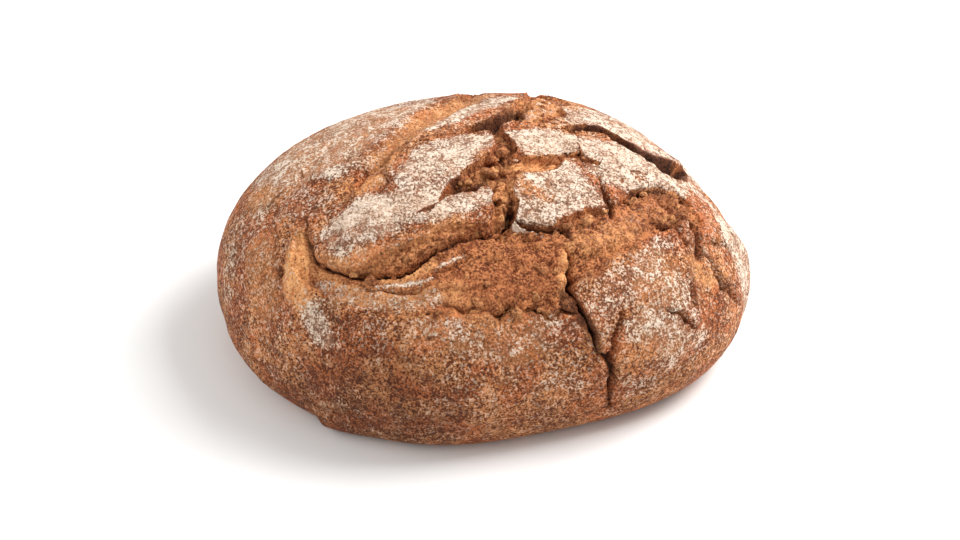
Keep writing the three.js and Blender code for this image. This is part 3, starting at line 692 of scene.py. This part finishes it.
def make_loaf():
    """The crust, centred over the origin, and the shift that was taken off its points."""
    corners, faces = box_grid()
    points, looks = loaf_points(corners)
    middle = (points.min(1) + points.max(1)) / 2
    shift = np.array([[middle[0], middle[1], points[2].min()]]).T
    return make_piece("loaf_crust", points - shift, faces, looks), shift


def ball():
    """Corners and faces of a small round body of radius 1."""
    shape = bmesh.new()
    bmesh.ops.create_icosphere(shape, subdivisions=2, radius=1)
    corners = np.array([vertex.co for vertex in shape.verts]).T
    faces = np.array([[vertex.index for vertex in face.verts] for face in shape.faces])
    shape.free()
    return corners, faces


def turned(u, v, angles):
    """Two coordinates of the corners of each crumb, turned by its angle."""
    cosine, sine = np.cos(angles)[:, None], np.sin(angles)[:, None]
    return u * cosine - v * sine, u * sine + v * cosine


def tumbled(corners, random, count, tip):
    """Copies of the corners, each turned at random, and tipped by this angle at most."""
    spin, lean, way = random.uniform(0, 1, (3, count))
    spin, lean, way = spin * 2 * math.pi, lean * tip, way * 2 * math.pi
    x, y, z = corners[:, None, :]
    x, y = turned(x, y, spin)
    u, v = turned(x, y, -way)
    u, z = turned(u, z, lean)
    return np.stack([*turned(u, v, way), z])


def knobs_wanted(a, b, inside):
    """Chance of a knob at each point: they lie in the tears."""
    return laid(CRUMB_PLACES, a, b, soft=1) * ramp(inside, *KNOB_EDGE)


def chips_wanted(a, b, inside):
    """Chance of a chip at each point: they lie along the edges of the plates of skin."""
    places = {place: CRUMB_PLACES[place] for place in CHIP_PLACES}
    return 0.5 * laid(places, a, b, soft=1) * np.exp(-(((inside - CHIP_EDGE[0]) / CHIP_EDGE[1]) ** 2))


def thrown(throw, wanted, random):
    """Places and radii of the crumbs that stay, so that none crowds another too much."""
    a, b = [random.uniform(start, end, throw.number) for start, end in CRUMB_AREA]
    radius = throw.least * (throw.most / throw.least) ** (random.uniform(0, 1, throw.number) ** CRUMB_POWER)
    inside = into_tears(*ragged(a, b))[0]
    stays = random.uniform(0, 1, throw.number) < wanted(a, b, inside)
    a, b, radius = a[stays], b[stays], radius[stays]
    kept = []
    for i in np.argsort(-radius):
        if all(math.hypot(a[i] - a[j], b[i] - b[j]) > CRUMB_GAP * (radius[i] + radius[j]) for j in kept):
            kept.append(i)
    return a[kept], b[kept], radius[kept]


def make_crumbs(name, throw, wanted, shift, seed):
    random = np.random.default_rng(seed)
    a, b, radius = thrown(throw, wanted, random)
    count = len(radius)
    corners, faces = ball()
    corners = tumbled(corners * np.array([[1], [CRUMB_WIDTH], [throw.squash]]), random, count, throw.tip)
    smooth = smooth_points(a, b)
    height, lean, _, looks = relief(a, b, smooth)
    along, across, out = smooth_frame(a, b)
    centre = smooth + (height - throw.sunk * radius) * out + lean[0] * along + lean[1] * across
    placed = sum(corners[i][None] * axis[:, :, None] for i, axis in enumerate((along, across, out)))
    placed = placed * radius[None, :, None]
    points = centre[:, :, None] + placed
    points = points + placed * layers(points, CRUMB_ROUGH, seed=80)

    looks = {
        "bare": np.ones(count),
        "pit": 0.25 * looks["pit"],
        "flour": np.full(count, throw.flour),
        "pale": 0.9 * random.uniform(0, 1, count) ** 2,
        "toasted": random.uniform(0, 0.7, count),
        "painted_shade": 0.7 * laid(PAINTED_SHADE, a, b, soft=1.5),
    }
    each = corners.shape[2]
    looks = {attribute: np.repeat(values, each) for attribute, values in looks.items()}
    faces = (faces[None] + each * np.arange(count)[:, None, None]).reshape(-1, 3)
    return make_piece(name, points.reshape(3, -1) - shift, faces, looks)


# ---- Materials ----

def linear(red, green, blue):
    """An 8-bit screen colour as the linear one that Blender takes."""
    parts = [c / 255 for c in (red, green, blue)]
    return [c / 12.92 if c <= 0.04045 else ((c + 0.055) / 1.055) ** 2.4 for c in parts] + [1]


SKIN_BROWN = linear(96, 46, 23)
SKIN_TAN = linear(204, 120, 70)
SKIN_LIGHT = linear(220, 150, 96)
SKIN_PATCH = linear(112, 60, 36)
# the torn dough's brown with painted shade between its lumps, and its tan with painted highlights on them
DOUGH_SHADED_BROWN = linear(98, 46, 22)
DOUGH_HIGHLIT_TAN = linear(206, 132, 82)
DOUGH_BAKED = linear(132, 62, 34)
PALE_SHADE = linear(186, 112, 64)
PALE_LIGHT = linear(248, 184, 122)
DEEP_SHADE = linear(36, 16, 8)
DEEP_LIGHT = linear(92, 48, 26)
TOAST_AND_SHADE_TINT = (0.54, 0.52, 0.53, 1)  # what toasting and painted shade leave of a colour
PORE = linear(74, 40, 22)
HAIRLINE = linear(70, 38, 22)
POWDER_SHADE = linear(200, 169, 143)
POWDER_LIGHT = linear(237, 219, 200)
FLOOR_COLOURS = (linear(246, 245, 243), linear(250, 250, 249))


class Nodes:
    """Makes and joins the nodes of a material."""

    def __init__(self, name):
        self.material = bpy.data.materials.new(name)
        self.material.use_nodes = True
        self.tree = self.material.node_tree
        self.shader = self.tree.nodes["Principled BSDF"]

    def make(self, kind, inputs, **settings):
        made = self.tree.nodes.new("ShaderNode" + kind)
        for name, value in settings.items():
            setattr(made, name, value)
        self.fill(made, inputs)
        return made

    def fill(self, node, inputs):
        for name, value in inputs.items():
            if isinstance(value, bpy.types.NodeSocket):
                self.tree.links.new(value, node.inputs[name])
            else:
                node.inputs[name].default_value = value

    def looks(self, name):
        return self.make("Attribute", {}, attribute_name=name).outputs["Fac"]

    def place(self):
        return self.make("TexCoord", {}).outputs["Object"]

    def grain(self, size, detail=2.0, roughness=0.5):
        """Noise from 0 to 1, with lumps of this size in mm."""
        inputs = {"Vector": self.place(), "Scale": 1 / (size * MM), "Detail": detail, "Roughness": roughness}
        return self.make("TexNoise", inputs).outputs["Fac"]

    def strayed(self, size, stray):
        """The place, moved by up to this much in mm along each axis, in lumps of this size."""
        noise = self.make("TexNoise", {"Vector": self.place(), "Scale": 1 / (size * MM), "Detail": 3.0})
        inputs = {0: noise.outputs["Color"], 1: [stray * MM] * 3}
        away = self.make("VectorMath", inputs, operation="MULTIPLY").outputs[0]
        return self.make("VectorMath", {0: self.place(), 1: away}, operation="ADD").outputs[0]

    def cells(self, size, edge, place):
        """1 along the borders of cells of this size in mm, fading to 0 inside them."""
        inputs = {"Vector": place, "Scale": 1 / (size * MM)}
        made = self.make("TexVoronoi", inputs, feature="DISTANCE_TO_EDGE")
        return self.ramp(made.outputs["Distance"], edge, 0.2 * edge)

    def math(self, operation, first, second=0.0, third=0.0):
        made = self.make("Math", {0: first, 1: second, 2: third}, operation=operation)
        return made.outputs[0]

    def times(self, first, second):
        return self.math("MULTIPLY", first, second)

    def most(self, first, second):
        return self.math("MAXIMUM", first, second)

    def add(self, *terms):
        """The sum of (share, value) pairs."""
        total = 0.0
        for share, value in terms:
            total = self.math("MULTIPLY_ADD", value, share, total)
        return total

    def ramp(self, value, start, end, low=0.0, high=1.0):
        inputs = {"Value": value, "From Min": start, "From Max": end, "To Min": low, "To Max": high}
        made = self.make("MapRange", inputs, interpolation_type="SMOOTHSTEP")
        return made.outputs["Result"]

    def mix(self, amount, first, second, blend="MIX"):
        made = self.make("Mix", {0: amount, 6: first, 7: second}, data_type="RGBA", blend_type=blend)
        return made.outputs[2]


class CrustNodes(Nodes):
    """The nodes of the crust, layer by layer."""

    def __init__(self):
        super().__init__("crust")
        self.bare, self.pit, self.cover = map(self.looks, ("bare", "pit", "flour"))
        self.pale, self.toasted, self.painted_shade = map(self.looks, ("pale", "toasted", "painted_shade"))
        self.fine = self.grain(1.0, 2, 0.6)
        self.coarse = self.grain(2.8, 3, 0.6)
        self.crumb = self.add((0.66, self.grain(1.1, 3, 0.65)), (0.34, self.grain(4.5, 3, 0.6)))
        self.pores = self.ramp(self.grain(1.5, 2, 0.5), 0.6, 0.7)
        self.crackle = self.crackled()

    def crackled(self):
        """Hairline crackle of the dry skin, in patches."""
        place = self.strayed(6, 4)
        lines = self.most(self.cells(11, 0.035, place), self.cells(4.5, 0.05, place))
        patches = self.times(self.ramp(self.grain(14, 2), 0.42, 0.62), self.ramp(self.coarse, 0.44, 0.56))
        return self.times(lines, self.times(patches, self.ramp(self.bare, 1, 0)))

    def skin(self):
        """Browned skin, mottled at three sizes."""
        light = self.mix(self.ramp(self.grain(16, 2), 0.4, 0.6), SKIN_TAN, SKIN_LIGHT)
        toast = self.add((0.54, self.fine), (0.31, self.coarse), (0.15, self.grain(20, 3)))
        colour = self.mix(self.ramp(toast, 0.425, 0.575), SKIN_BROWN, light)
        patches = self.times(self.ramp(self.grain(7, 3), 0.48, 0.66), 0.45)
        return self.mix(patches, colour, SKIN_PATCH)

    def dough(self):
        """Torn dough, with painted highlights on its lumps and painted shade between them, following the
        same crumb noise as the bump.
        """
        colour = self.mix(self.ramp(self.crumb, 0.41, 0.6), DOUGH_SHADED_BROWN, DOUGH_HIGHLIT_TAN)
        baked = self.times(self.ramp(self.grain(15, 2), 0.45, 0.62), 0.26)
        return self.mix(baked, colour, DOUGH_BAKED)

    def baked(self, colour):
        """The pale places with a painted highlight, toasting with painted shade, the painted shade of dark
        and deep places, and the pores.
        """
        # pale, stretched crust, and the painted highlight beside the front crack
        pale = self.mix(self.ramp(self.crumb, 0.38, 0.6), PALE_SHADE, PALE_LIGHT)
        colour = self.mix(self.times(self.pale, 0.95), colour, pale)
        # toasting, which on the lower left is also painted shade
        colour = self.mix(self.toasted, colour, TOAST_AND_SHADE_TINT, "MULTIPLY")
        # painted shade: over the places of the dark map, and darker the deeper a tear, crack or bubble is
        deep_shade_colour = self.mix(self.ramp(self.crumb, 0.4, 0.62), DEEP_SHADE, DEEP_LIGHT)
        colour = self.mix(self.times(self.painted_shade, 0.85), colour, deep_shade_colour)
        colour = self.mix(self.ramp(self.pit, 0.5, 1.1), colour, deep_shade_colour)
        colour = self.mix(self.times(self.pores, 0.7), colour, PORE)
        seen = self.times(self.crackle, self.ramp(self.cover, 0.2, 0.7, low=0.3, high=0.5))
        return self.mix(seen, colour, HAIRLINE)

    def specks(self, speckle):
        """Specks of flour, which close up where it lies thick."""
        bar = self.math("MULTIPLY_ADD", self.cover, -0.18, 0.622)
        specks = self.ramp(self.math("SUBTRACT", speckle, bar), -0.04, 0.05)
        specks = self.times(specks, self.ramp(self.cover, 0, 0.6, low=0.3, high=0.92))
        return self.times(specks, self.ramp(self.cover, 0, 0.1))

    def film(self):
        """A thin film of flour under thick specks."""
        thick = self.ramp(self.cover, 0.35, 1, high=0.38)
        return self.times(thick, self.ramp(self.grain(5, 2), 0.3, 0.7, low=0.6))

    def dust(self):
        """Single grains of flour, fewer where the crust is toasted and where painted shade lies."""
        dust = self.ramp(self.grain(1.6, 1, 0.5), 0.57, 0.67)
        dust = self.times(dust, self.ramp(self.cover, 0, 0.4, high=0.75))
        return self.times(dust, self.ramp(self.toasted, 0, 1, low=1, high=0.55))

    def floured(self, speckle):
        """How much of the flour shows: it cracks with the skin, and stays out of the places with painted
        shade, deep and dark ones.
        """
        floured = self.most(self.specks(speckle), self.film())
        floured = self.times(floured, self.ramp(self.crackle, 1, 0, low=0.2))
        floured = self.most(floured, self.dust())
        floured = self.times(floured, self.ramp(self.pit, 0.15, 0.5, low=1, high=0))
        return self.times(floured, self.ramp(self.painted_shade, 0.3, 0.65, low=1, high=0))


def crust_material():
    nodes = CrustNodes()
    colour = nodes.baked(nodes.mix(nodes.bare, nodes.skin(), nodes.dough()))
    speckle = nodes.add((0.44, nodes.fine), (0.35, nodes.coarse), (0.21, nodes.grain(8, 2)))
    floured = nodes.floured(speckle)
    powder = nodes.mix(nodes.ramp(speckle, 0.45, 0.6), POWDER_SHADE, POWDER_LIGHT)
    colour = nodes.mix(floured, colour, powder)

    grit = nodes.add((0.35, nodes.fine), (0.5, nodes.coarse), (0.3, floured), (-0.4, nodes.pores),
                     (0.6, nodes.crumb), (-0.5, nodes.crackle))
    bump = nodes.make("Bump", {"Height": grit, "Distance": 0.9 * MM, "Strength": 0.9}).outputs["Normal"]
    finish = {"Base Color": colour, "Roughness": 0.85, "Specular IOR Level": 0.25, "Normal": bump}
    nodes.fill(nodes.shader, finish)
    return nodes.material


def floor_material():
    nodes = Nodes("floor")
    colour = nodes.mix(nodes.grain(400, 2), *FLOOR_COLOURS)
    nodes.fill(nodes.shader, {"Base Color": colour, "Roughness": 0.9})
    return nodes.material


# ---- Stage ----

AIM = (1.2, -17.9, 46.5)  # point of the loaf that the camera looks at, before the loaf is centred
CAMERA_ELEVATION = math.radians(37)
CAMERA_DISTANCE = 1055.6
CAMERA_LENS = 85
FLOOR_HALF = 6  # half the floor's side, in metres
SKY = 0.6  # strength of the white light from all round


def make_camera(shift):
    aim = Vector((AIM[0] - shift[0, 0], AIM[1] - shift[1, 0], AIM[2])) * MM
    back = Vector((0, -math.cos(CAMERA_ELEVATION), math.sin(CAMERA_ELEVATION)))
    data = bpy.data.cameras.new("camera")
    data.lens = CAMERA_LENS
    camera = add_object("camera", data)
    camera.location = aim + back * CAMERA_DISTANCE * MM
    camera.rotation_euler = back.to_track_quat("Z", "Y").to_euler()
    bpy.context.scene.camera = camera


def make_light(name, place, size, power):
    """A square soft box that faces the loaf, in metres and watts."""
    data = bpy.data.lights.new(name, "AREA")
    data.size = size
    data.energy = power
    light = add_object(name, data)
    light.location = place
    light.rotation_euler = Vector(place).to_track_quat("Z", "Y").to_euler()


def make_floor():
    corners = [(x * FLOOR_HALF, y * FLOOR_HALF, 0) for x, y in ((-1, -1), (1, -1), (1, 1), (-1, 1))]
    mesh = bpy.data.meshes.new("floor")
    mesh.from_pydata(corners, [], [(0, 1, 2, 3)])
    mesh.materials.append(floor_material())
    add_object("floor", mesh)


def make_world():
    world = bpy.data.worlds.new("studio")
    bpy.context.scene.world = world
    world.use_nodes = True
    background = world.node_tree.nodes["Background"]
    background.inputs["Color"].default_value = (1, 1, 1, 1)
    background.inputs["Strength"].default_value = SKY


crust, shift = make_loaf()
dough = make_crumbs("dough_knobs", KNOB_THROW, knobs_wanted, shift, seed=1)
chips = make_crumbs("skin_chips", CHIP_THROW, chips_wanted, shift, seed=2)
material = crust_material()
for piece in (crust, dough, chips):
    piece.data.materials.append(material)
    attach(piece, "root")
    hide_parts("loaf")

make_camera(shift)
make_light("key", place=(0.75, 0.2, 1.0), size=0.7, power=17)
make_light("rim", place=(1.1, 0.9, 0.45), size=0.7, power=7)
make_light("fill", place=(-1.1, -0.3, 0.8), size=1.0, power=6)
make_floor()
make_world()
bpy.context.scene.view_settings.view_transform = "Standard"
